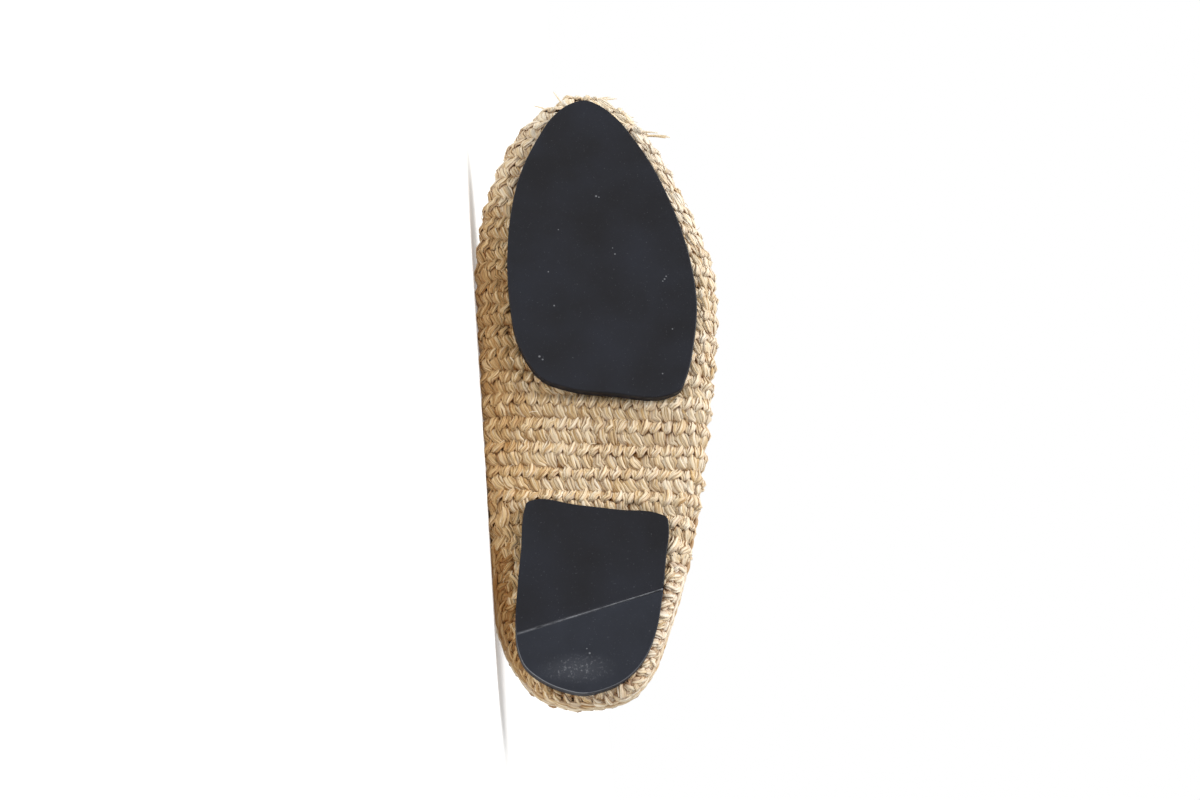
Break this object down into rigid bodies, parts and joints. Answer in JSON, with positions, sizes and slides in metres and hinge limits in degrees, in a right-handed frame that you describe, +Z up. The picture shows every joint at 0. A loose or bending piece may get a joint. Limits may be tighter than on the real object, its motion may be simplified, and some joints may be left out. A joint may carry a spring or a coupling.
{
  "type": "raffia mule",
  "caption": "Crocheted raffia mule for the left foot with a closed almond toe, open back, tan footbed and black rubber pads under forefoot and heel, lying on its inner side.",
  "frame": {"origin": "middle of the base of the bounding box, on the floor that the shoe lies on", "axes": "+Z up from the floor; X along the shoe with the toe towards -X; the sole faces -Y and the outer side is up"},
  "size_m": [0.2492, 0.0642, 0.0917],
  "materials": {
    "raffia": "natural crocheted raffia, satin fibres",
    "insole_leather": "matt tan leather",
    "sole_rubber": "satin black rubber"
  },
  "bodies": {
    "root": {"upper": "raffia", "insole": "insole_leather", "forefoot_sole": "sole_rubber", "heel_pad_front": "sole_rubber", "heel_pad_rear": "sole_rubber"}
  },
  "joints": []
}
